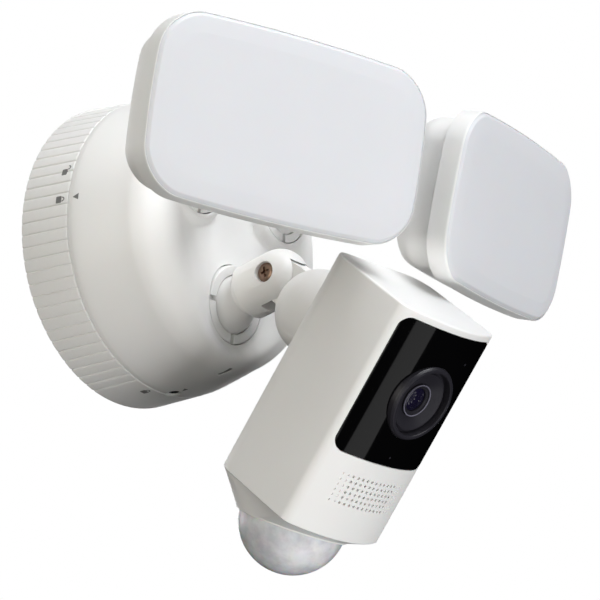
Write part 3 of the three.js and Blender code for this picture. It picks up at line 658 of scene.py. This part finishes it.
def eye_sweep(prefix):
    """The room in the arm that the eye takes up over the elbow's whole travel."""
    elbow = Matrix.Translation((0, -arm_length(prefix), 0))
    carried = head_place() if prefix == "camera" else lamp_place(prefix)
    rest = (arm_place(prefix).inverted() @ carried).to_euler().x
    low, high = (math.radians(limit) for limit in JOINTS[f"{prefix}_tilt"]["range_deg"])
    room = EYE_R + 0.5
    tools = [moved(rod("x", -SLOT / 2, SLOT / 2, room, segments=96), elbow)]
    for k in range(SWEEP_STEPS + 1):
        turn = rest + low + (high - low) * k / SWEEP_STEPS
        tongue = block((-SLOT / 2, -30, -room), (SLOT / 2, 0, room))
        tools.append(moved(tongue, elbow @ Matrix.Rotation(turn, 4, "X")))
    return tools


def elbow_hardware(prefix):
    elbow = elbow_place(prefix)
    facing = Matrix.Translation((-ARM_FLAT + 0.1, 0, 0)) @ Matrix.Rotation(-math.pi / 2, 4, "Z")
    screw(f"{prefix}_pivot_screw", PIN_HEAD_R, 1.5, 2.35, 2 * ARM_FLAT - 0.6, elbow @ facing, f"{prefix}_arm",
          f"{prefix}_elbow_screw", BRONZE)
    nut = rod("x", PIN_SEAT + 0.2, ARM_FLAT - 0.1, 4.4, segments=6)
    nut = eased(cut(nut, rod("x", 0, 20, 2.5, segments=48)), 0.3)
    install(nut, f"{prefix}_pivot_nut", elbow, f"{prefix}_arm", [f"{prefix}_elbow_nut"], GALVANISED,
            25)


def eye(reach, width=11.4, radius=EYE_R):
    """The flat eye on the carried part, from the elbow's axis back along -Y, with its pin hole."""
    tongue = joined(rod("x", -width / 2, width / 2, radius, segments=96),
                    block((-width / 2, -reach, -radius), (width / 2, 0, radius)))
    return cut(tongue, rod("x", -20, 20, 2.65))


def arm_room():
    return ball(ARM_R + 0.8)


# ------------------------------------------------------------------ camera head
def head_outline(inset):
    """The head's outline as (x, y, heading), drawn in by an even inset."""
    arc_y = HEAD_FRONT + HEAD_FRONT_R
    corner_x = HEAD_HALF - SIDE_CORNER
    corner_y = arc_y - math.sqrt((HEAD_FRONT_R - SIDE_CORNER) ** 2 - corner_x ** 2)
    lean = math.atan2(corner_x, corner_y - arc_y)
    arcs = [(HEAD_HALF - BACK_CORNER, HEAD_BACK - BACK_CORNER, BACK_CORNER, 0, math.pi / 2, 12),
            (corner_x, corner_y, SIDE_CORNER, math.pi / 2, lean, 8),
            (0, arc_y, HEAD_FRONT_R, lean, math.pi, 24)]
    right = []
    for x, y, radius, start, end, steps in arcs:
        for i in range(steps + 1):
            heading = start + (end - start) * i / steps
            right.append((x + (radius - inset) * math.sin(heading), y + (radius - inset) * math.cos(heading),
                          heading))
    left = [(-x, y, -heading) for x, y, heading in reversed(right[:-1])]
    return right + left


def head_ring(z, inset, rise=0.0):
    """A section at height z, whose back edge is higher than its front edge by rise."""
    slope = rise / (HEAD_BACK - HEAD_FRONT)
    return [(x, y, z + slope * (y - HEAD_FRONT)) for x, y, _ in head_outline(inset)]


def rim_ring(drop, radius):
    """A circle square to the dome's leaning axis, with a point for each point of the head's outline."""
    return [dome_lean() @ Vector((radius * math.sin(h), radius * math.cos(h), -drop))
            for _, _, h in head_outline(0)]


def dome_lean():
    return Matrix.Translation((0, DOME_Y, DOME_Z)) @ Matrix.Rotation(-DOME_LEAN, 4, "X")


def panel_window(growth):
    half = PANEL_HALF + growth
    outline = box_outline(-half, PANEL_BOTTOM - growth, half, PANEL_TOP + growth, PANEL_CORNER + growth, 12)
    return slab(outline, HEAD_FRONT + 30, HEAD_FRONT - 5)


def front_y(x):
    """Where the head's bowed front is, x to one side of its middle."""
    return HEAD_FRONT + HEAD_FRONT_R - math.sqrt(HEAD_FRONT_R ** 2 - x * x)


def head_shell():
    foot = HEAD_BOTTOM - BOTTOM_RISE
    edge_r = 1.1
    rings = [head_ring(foot, 0, BOTTOM_RISE)]
    for k in range(7):
        angle = math.pi / 2 * k / 6
        height = HEAD_TOP - edge_r * (1 - math.sin(angle))
        rings.append(head_ring(height, edge_r * (1 - math.cos(angle)), TOP_RISE))
    shell = lofted("head", rings)
    window = panel_window(0.25)
    recess = cut(window, lofted("tool", [head_ring(HEAD_BOTTOM - 5, 1.5), head_ring(HEAD_TOP + 5, 1.5)]))
    boss = cut(joined(ball(BOSS_R, (0, BOSS_Y, BOSS_Z), 96),
                      rod("y", HEAD_BACK - 4, BOSS_Y, BOSS_R, (0, BOSS_Z), 96)), arm_room())
    shell = joined(shell, boss, eye(-HEAD_BACK + 2))
    shell = cut(shell, recess, rod("y", HEAD_FRONT - 5, HEAD_FRONT + 20, BEZEL_R + 0.3, (0, LENS_Z), 96),
                *speaker_holes())
    install(shell, "head_housing", head_place(), "camera_head", ["head_shell"], WHITE, 32)


def speaker_holes():
    """Rows of small holes; the outer columns on each side are only faintly sunk."""
    tools = []
    for row in range(HOLE_ROWS):
        z = HOLE_TOP - row * HOLE_PITCH_Z
        for column in range(-HOLE_COLUMNS, HOLE_COLUMNS + 1):
            x = column * HOLE_PITCH_X
            faint = abs(column) > CLEAR_COLUMNS
            depth = 0.35 if faint else 1.4
            radius = HOLE_R * (0.75 if faint else 1)
            tools.append(rod("y", front_y(x) - 1, front_y(x) + depth, radius, (x, z), 14))
    return [merged(tools)]


def merged(objects):
    """Several loose solids as one tool."""
    whole = bmesh.new()
    for obj in objects:
        whole.from_mesh(obj.data)
    mesh = bpy.data.meshes.new("merged")
    whole.to_mesh(mesh)
    whole.free()
    first = bpy.data.objects.new("merged", mesh)
    bpy.context.scene.collection.objects.link(first)
    for obj in objects:
        bpy.data.objects.remove(obj)
    return first


def head_collar():
    seam = HEAD_BOTTOM - BOTTOM_RISE - 0.12
    rings = [rim_ring(RIM_DROP, RIM_R - 0.5), rim_ring(RIM_DROP - 0.25, RIM_R - 0.12),
             rim_ring(RIM_DROP - 0.7, RIM_R), head_ring(seam, 0, BOTTOM_RISE)]
    collar = lofted("collar", rings)
    collar = cut(collar, moved(rod("z", -RIM_DROP - 3, 3, 25.75, segments=128), dome_lean()))
    install(collar, "head_skirt", head_place(), "camera_head", ["head_collar"], WHITE, 30)


def pir_dome():
    start = -RIM_DROP + 1.9
    outer_r = DOME_R - 0.15
    arc = []
    first = math.acos(-start / outer_r)
    for k in range(33):
        angle = first * (1 - k / 32)
        arc.append((outer_r * math.sin(angle), -outer_r * math.cos(angle)))
    arc[-1] = (0, -outer_r)
    points = [(0, start + 1.2), (outer_r, start + 1.2)] + arc
    dome = moved(turned("dome", points, 128), Matrix.Rotation(math.pi / 2, 4, "X"))
    install(dome, "sensor_dome", head_place() @ dome_lean(), "camera_head", ["pir_dome"], DOME,
            50)


def front_panel():
    skin = lofted("panel", [head_ring(PANEL_BOTTOM - 5, 0.05), head_ring(PANEL_TOP + 5, 0.05)])
    skin = cut(skin, lofted("tool", [head_ring(PANEL_BOTTOM - 6, 1.3), head_ring(PANEL_TOP + 6, 1.3)]))
    skin = common(skin, panel_window(-0.05))
    skin = cut(skin, rod("y", HEAD_FRONT - 5, HEAD_FRONT + 20, BEZEL_R + 0.25, (0, LENS_Z), 96))
    skin = eased(skin, 0.32, 40, 3)
    skin.data.shade_smooth()
    skin.modifiers.new("even_gloss", "WEIGHTED_NORMAL").weight = 90
    install(apply_modifiers(skin), "front_window", head_place(), "camera_head", ["front_panel"], PANEL_BLACK,
            30)
    for name, x, z, radius in (("status_light", 17.5, 13.7, 0.6), ("microphone_port", -0.5, -37.5, 0.5)):
        profile = rounded([(0, -0.06, 0), (radius, -0.06, 0.05), (radius, 1, 0), (0, 1, 0)], steps=3)
        pip = turned(name, profile, 24)
        place = head_place() @ Matrix.Translation((x, front_y(x), z))
        install(pip, name, place, "camera_head", [], GRAPHITE)


def lens():
    lip = HEAD_FRONT - 1.6
    place = head_place() @ Matrix.Translation((0, lip, LENS_Z))
    bezel = rounded([(BARREL_R + 0.3, 5.4, 0), (FUNNEL_R - 1.0, 2.4, 0.5), (FUNNEL_R - 0.9, 4.4, 0.3),
                     (FUNNEL_R + 0.4, 4.4, 0.3), (FUNNEL_R + 0.6, 0.1, 0.6), (BEZEL_R - 0.9, 0.1, 0.9),
                     (BEZEL_R, 1.4, 0.6), (BEZEL_R, 10, 0), (BARREL_R + 0.3, 10, 0)], True, 5)
    install(turned("bezel", bezel, 128), "lens_surround", place, "camera_head", ["lens_bezel"], GRAPHITE,
            40)
    barrel = [(0, 30, 0), (BARREL_R, 30, 0), (BARREL_R, 4.5, 0.3), (BARREL_R - 0.6, 4.4, 0.2),
              (BARREL_R - 0.8, 5.0, 0), (GLASS_R + 0.9, 5.1, 0.1), (GLASS_R + 0.8, 4.8, 0.1),
              (GLASS_R + 0.2, 5.3, 0), (GLASS_R + 0.1, 8.2, 0), (0, 8.2, 0)]
    install(turned("barrel", rounded(barrel, steps=4), 96), "lens_barrel_rings", place, "camera_head",
            ["lens_barrel"], GRAPHITE, 30)
    ring = turned("ring", rounded([(BARREL_R - 0.45, 4.25, 0.12), (BARREL_R + 0.1, 4.05, 0.2),
                                   (BARREL_R + 0.15, 4.7, 0), (BARREL_R - 0.4, 4.9, 0)], True, 4), 96)
    install(ring, "lens_trim_ring", place, "camera_head", [], LENS_RING, 40)
    points = [(0, 8), (GLASS_R, 8), (GLASS_R, 5.9)]
    for k in range(1, 25):
        share = 1 - k / 24
        groove = 0.22 if k in (5, 6, 11, 12, 16, 17) else 0
        points.append((GLASS_R * share, 5.8 - 0.9 * (1 - share ** 2) + groove))
    install(turned("glass", points, 96), "front_element", place, "camera_head", ["lens_glass"], GLASS,
            40)


# ------------------------------------------------------------------ light panels
def lamp_ring(inset, y, per_corner=14, per_side=14):
    """A bowed rounded rectangle, drawn in by an even inset."""
    half_w, half_h = LAMP_W / 2, LAMP_H / 2
    centres = [(1, 1), (-1, 1), (-1, -1), (1, -1)]
    plain = []
    for q, (sx, sz) in enumerate(centres):
        for i in range(per_corner + 1):
            angle = (q + i / per_corner) * math.pi / 2
            plain.append((sx * (half_w - LAMP_CORNER) + LAMP_CORNER * math.cos(angle),
                          sz * (half_h - LAMP_CORNER) + LAMP_CORNER * math.sin(angle)))
        nx, nz = centres[(q + 1) % 4]
        angle = (q + 1) * math.pi / 2
        end = np.array([nx * (half_w - LAMP_CORNER) + LAMP_CORNER * math.cos(angle),
                        nz * (half_h - LAMP_CORNER) + LAMP_CORNER * math.sin(angle)])
        start = np.array(plain[-1])
        plain += [tuple(start + (end - start) * i / per_side) for i in range(1, per_side)]
    points = np.array(plain)
    x, z = points[:, 0], points[:, 1]
    bowed = np.stack([x * (1 + LAMP_BULGE / half_w * (1 - (z / half_h) ** 2)),
                      z * (1 + LAMP_BULGE / half_h * (1 - (x / half_w) ** 2))], 1)
    along = np.roll(bowed, -1, 0) - np.roll(bowed, 1, 0)
    normal = np.stack([along[:, 1], -along[:, 0]], 1) / np.linalg.norm(along, axis=1)[:, None]
    return [(a, y, b) for a, b in bowed - inset * normal]


def lamp_stack(name, levels):
    return lofted(name, [lamp_ring(inset, y) for inset, y in levels])


def light_frame(prefix):
    edge = rounded([(WALL, 2.3, 0), (LIP_WIDTH, 2.3, 0.1), (LIP_WIDTH, 0.3, 0.1), (0.25, 0.25, 0.15),
                    (0, 1.1, 0.6), (0, LAMP_FRAME, 0)], steps=5)
    shape = cut(lamp_stack("frame", edge), lamp_stack("tool", [(WALL, -1), (WALL, LAMP_FRAME + 1)]))
    body = f"{prefix}_light"
    install(shape, f"{prefix}_light_bezel", lamp_place(prefix), body, [f"{prefix}_light_frame"], WHITE,
            30)
    edge_inset = LIP_WIDTH + 0.08
    skin = rounded([(WALL + 15, -1.55, 0), (WALL + 7, -1.35, 6), (LIP_WIDTH + 1.6, -0.75, 1.4),
                    (edge_inset, 0.5, 0.9), (edge_inset, 2.15, 0), (WALL + SEAM, 2.15, 0),
                    (WALL + SEAM, 3, 0)], steps=5)
    install(lamp_stack("diffuser", skin), f"{prefix}_light_lens", lamp_place(prefix), body,
            [f"{prefix}_light_diffuser"], DIFFUSER, 40)


def light_cover(prefix):
    """A rear cover set in behind a thin flange, with a round boss and the eye that the arm holds."""
    side = SIDES[prefix]
    seam = LAMP_FRAME + SEAM
    step = seam + FLANGE_DEPTH
    levels = list(rounded([(FLANGE_INSET + 0.3, seam, 0), (FLANGE_INSET, seam + 0.3, 0),
                           (FLANGE_INSET, step, 0.2), (COVER_INSET, step, 0.4),
                           (COVER_INSET, step + 1, 0)], steps=3))
    for k in range(13):
        angle = math.pi / 2 * k / 12
        levels.append((COVER_INSET + BACK_ROUND * (1 - math.cos(angle)),
                       LAMP_DEPTH - BACK_ROUND + BACK_ROUND * math.sin(angle)))
    shell = lamp_stack("cover", levels)
    r = LAMP_BOSS_R
    corners = [(0, -3, 0), (r + 4, -3, 0), (r + 2.6, 0.2, 1.5), (r - 0.2, 2.6, 3), (r - 3, 12, 8),
               (r - 9, 18, 3), (0, 20, 0)]
    profile = rounded([(radius, LAMP_DEPTH + back, ease) for radius, back, ease in corners], steps=6)
    elbow = Matrix.Translation((-side * LAMP_BOSS, LAMP_REACH, 0))
    dome = moved(turned("boss", profile, 96), Matrix.Translation((-side * LAMP_BOSS, 0, 0)))
    dome = cut(dome, moved(arm_room(), elbow))
    shape = joined(shell, dome, moved(eye(LAMP_REACH - LAMP_DEPTH + 3), elbow))
    install(shape, f"{prefix}_light_housing", lamp_place(prefix), f"{prefix}_light",
            [f"{prefix}_light_cover"], WHITE, 32)


# ------------------------------------------------------------------ markings, and painted shade in the drain slot
def decal(name, outlines, place_point, body, sunk=0.0):
    """Thin plates, raised as printed ink, or sunk as painted shade: place_point puts each outline's point (u, v)
    in place.
    """
    verts, faces = [], []
    for outline in outlines:
        start, count = len(verts), len(outline)
        for lift in (-0.3, 0.09):
            verts += [place_point(u, v, lift - sunk) for u, v in outline]
        faces.append(list(range(start, start + count)))
        faces.append(list(range(start + count, start + 2 * count)))
        for i in range(count):
            j = (i + 1) % count
            faces.append([start + i, start + j, start + count + j, start + count + i])
    install(new_object(name, verts, faces), name, Matrix(), body, [], INK_AND_PAINTED_SHADE)


def padlock(size, shift=0.0):
    """A generic padlock: a square body and a bow, which is moved aside when it is open."""
    body = [(u * size, v * size) for u, v in box_outline(-1, -1.5, 1, 0.4, 0.25, 3)]
    bow = [(shift + 0.75 * math.cos(a), 0.55 + 0.95 * math.sin(a)) for a in np.linspace(0, math.pi, 9)]
    bow += [(shift + 0.42 * math.cos(a), 0.55 + 0.6 * math.sin(a)) for a in np.linspace(math.pi, 0, 9)]
    return [body, [(u * size, v * size) for u, v in bow]]


def on_surface(radius_at, from_bottom, depth):
    """Maps (u, v) to the ring or the housing: u runs round towards -X, v runs away from the wall."""
    def point(u, v, lift):
        y = -(depth + v)
        radius = radius_at(y)
        angle = from_bottom + u / radius
        r = radius + lift
        return (-r * math.sin(angle), y, -r * math.cos(angle))
    return point


def ring_radius(y):
    return RING_REAR + (RING_FRONT - RING_REAR) * -y / RING_DEPTH


def housing_radius(y):
    side = [(radius, -depth) for radius, depth in smooth_path(HOUSING_PROFILE[:7], 9)]
    return float(np.interp(-y, [depth for _, depth in side], [radius for radius, _ in side]))


def markings():
    side, opened, low = math.radians(96.3), math.radians(107.6), math.radians(8.7)
    decal("closed_mark", padlock(1.7), on_surface(ring_radius, side, 23.5), "lock_ring")
    decal("open_mark", padlock(1.6, 1.5), on_surface(ring_radius, opened, 24), "lock_ring")
    decal("bottom_mark", padlock(1.7), on_surface(ring_radius, low, 23.6), "lock_ring")
    arrow = [(-1.6, 1.6), (1.6, 1.6), (0, -1.6)]
    decal("side_arrow", [arrow], on_surface(housing_radius, side, 32.6), "base")
    small = [(0.8 * u, 0.8 * v) for u, v in arrow]
    decal("bottom_arrow", [small], on_surface(housing_radius, -0.015, 37.4), "base")


def drain_painted_shade():
    """A dark sheet just inside the drain slot: painted shade for the slot's dark inside."""
    width = DRAIN_WIDTH + 0.3
    panels = [[(-x, -y), (-x - width, -y), (-next_x - width, -next_y), (-next_x, -next_y)]
              for (x, y), (next_x, next_y) in zip(DRAIN_EDGE, DRAIN_EDGE[1:])]
    decal("drain_painted_shade", panels, on_surface(housing_radius, 0, 0), "base", sunk=0.4)


# ------------------------------------------------------------------ CAD nodes that keep their shape
def dress_inner_nodes():
    finishes = {"galvanised_steel": GALVANISED, "black_rubber": RUBBER, "dark_plastic": DARK,
                "circuit_board": BOARD, "aluminium": ALUMINIUM, "graphite_plastic": GRAPHITE}
    slots = {part["node"]: part["material_slot"] for part in frame["record"]["subparts"]}
    for name, node in frame["nodes"].items():
        finish = finishes.get(slots[name])
        if finish and not node.hide_render:
            node.data.materials.clear()
            node.data.materials.append(finish)


# ------------------------------------------------------------------ camera, lights and stage
CAMERA_RIGHT = Vector((0.6198, -0.7848, 0.0))
CAMERA_UP = Vector((-0.2025, -0.1599, 0.9662))
CAMERA_BACK = Vector((-0.7583, -0.5988, -0.2580))
CAMERA_SHIFT_MM = (86.0, -20.95, 1298.0)     # along right, up and back
FOCAL_LENGTH, SENSOR_WIDTH = 156.0, 36.0
FLOOR_Z, FLOOR_HALF = -1200, 6000


def look_at(obj, target):
    direction = Vector(target) - obj.location
    obj.rotation_euler = direction.to_track_quat("-Z", "Y").to_euler()


def add_camera():
    data = bpy.data.cameras.new("camera")
    data.lens = FOCAL_LENGTH
    data.sensor_width = SENSOR_WIDTH
    camera = bpy.data.objects.new("camera", data)
    along = zip(CAMERA_SHIFT_MM, (CAMERA_RIGHT, CAMERA_UP, CAMERA_BACK))
    place = Matrix((CAMERA_RIGHT, CAMERA_UP, CAMERA_BACK)).transposed().to_4x4()
    place.translation = sum((MM * amount * axis for amount, axis in along), Vector())
    camera.matrix_world = place
    bpy.context.scene.collection.objects.link(camera)
    bpy.context.scene.camera = camera


def add_light(name, place, target, size, power, colour=(1, 1, 1), glossy=True):
    data = bpy.data.lights.new(name, "AREA")
    data.shape = "RECTANGLE"
    data.size, data.size_y = size
    data.energy = power
    data.color = colour
    light = bpy.data.objects.new(name, data)
    light.location = place
    light.visible_camera = False
    light.visible_glossy = glossy
    bpy.context.scene.collection.objects.link(light)
    look_at(light, target)
    return light


def add_world():
    """Plain white, which the camera sees and which doesn't light the object."""
    world = bpy.data.worlds.new("studio")
    bpy.context.scene.world = world
    world.use_nodes = True
    background = world.node_tree.nodes["Background"]
    background.inputs["Color"].default_value = (1, 1, 1, 1)
    visibility = world.cycles_visibility
    visibility.diffuse = visibility.glossy = visibility.transmission = False


def add_floor():
    """A pale floor well below the object, kept out of its gloss and its light."""
    corners = [(sx * FLOOR_HALF, sy * FLOOR_HALF) for sx, sy in ((-1, -1), (1, -1), (1, 1), (-1, 1))]
    floor = lofted("studio_floor", [[(x, y, z) for x, y in corners] for z in (FLOOR_Z - 20, FLOOR_Z)])
    floor.data.transform(Matrix.Scale(MM, 4))
    shader = Shader("studio_floor")
    speckle = shader.blend(shader.noise(3, 2), (0.42, 0.42, 0.42), (0.46, 0.46, 0.46), colours=True)
    shader.link(speckle, "Base Color")
    shader.set(Roughness=0.9, Emission_Color=(1, 1, 1, 1), Emission_Strength=0.72)
    floor.data.materials.append(shader.material)
    floor.visible_glossy = floor.visible_diffuse = floor.visible_shadow = False


# Softboxes round the object: azimuth from the front towards the right and elevation in degrees, power in
# watts, colour, and whether gloss shows them.
SOFTBOXES = {
    "front": (0, 0, 2.3, (1, 1, 1), False),
    "front_low": (0, -40, 18.6, (1, 1, 1), False),
    "front_high": (0, 50, 26, (0.95, 0.97, 1), True),
    "left": (-90, 0, 9.5, (1, 0.957, 0.87), True),
    "left_low": (-50, -30, 3.4, (1, 0.98, 0.93), True),
    "left_high": (-90, 50, 6.7, (0.95, 0.98, 1), True),
    "overhead": (0, 88, 3.8, (1, 0.95, 0.9), True),
    "behind_right": (130, 20, 9, (1, 1, 1), True),
    "behind": (180, 15, 5, (1, 1, 1), True),
    "right": (90, 5, 1.2, (1, 1, 1), False),
}
SOFTBOX_DISTANCE, SOFTBOX_SIZE = 1.6, (1.0, 1.0)
MIDDLE = Vector((0, -0.1, -0.03))
# A narrow light along the camera's front, seen only as a dim band in its black window.
STRIP_SPOT, STRIP_DIRECTION = (-20.8, -105.4, -8), Vector((0.335, -0.62, -0.685)).normalized()
STRIP_DISTANCE, STRIP_SIZE, STRIP_POWER = 0.45, (0.137, 0.8), 0.2


def add_lights():
    for name, (azimuth, elevation, power, colour, glossy) in SOFTBOXES.items():
        a, e = math.radians(azimuth), math.radians(elevation)
        way = Vector((math.sin(a) * math.cos(e), -math.cos(a) * math.cos(e), math.sin(e)))
        add_light(name, MIDDLE + SOFTBOX_DISTANCE * way, MIDDLE, SOFTBOX_SIZE, power, colour, glossy)
    strip_target = MM * (head_place() @ Vector(STRIP_SPOT))
    strip = add_light("strip", Vector(), strip_target, STRIP_SIZE, STRIP_POWER)
    along = head_place().to_3x3() @ Vector((0, 0, 1))
    across = along.cross(STRIP_DIRECTION).normalized()
    turn = Matrix((across, STRIP_DIRECTION.cross(across), STRIP_DIRECTION)).transposed()
    strip.matrix_world = Matrix.Translation(strip_target + STRIP_DISTANCE * STRIP_DIRECTION) @ turn.to_4x4()
    strip.visible_diffuse = False


def lock_screw():
    """The steel screw under the housing's rim that keeps the ring from turning, coloured dark as painted shade for
    its hole.
    """
    upwards = Matrix.Rotation(math.pi / 2, 4, "X")
    place = Matrix.Translation((0, LOCK_SCREW_Y, -LOCK_SCREW_TOP)) @ upwards
    # its dark metal is painted shade for the hole it sits in
    screw("ring_screw", 3.1, LOCK_SCREW_TOP - LOCK_SCREW_SEAT, 1.7, 4.9, place, "base", "lock_screw",
          PAINTED_SHADE_SCREW)


def build():
    housing()
    lock_ring()
    wall_plate()
    lock_screw()
    for prefix in ARM_NAMES:
        retaining_ring(prefix)
        ball_stud(prefix)
        arm(prefix)
        elbow_hardware(prefix)
    head_shell()
    head_collar()
    pir_dome()
    front_panel()
    lens()
    for prefix in SIDES:
        light_frame(prefix)
        light_cover(prefix)
    markings()
    # painted shade: a dark sheet sunk just inside the drain slot
    drain_painted_shade()
    dress_inner_nodes()


build()
add_camera()
add_world()
add_floor()
add_lights()
bpy.context.scene.view_settings.view_transform = "Standard"
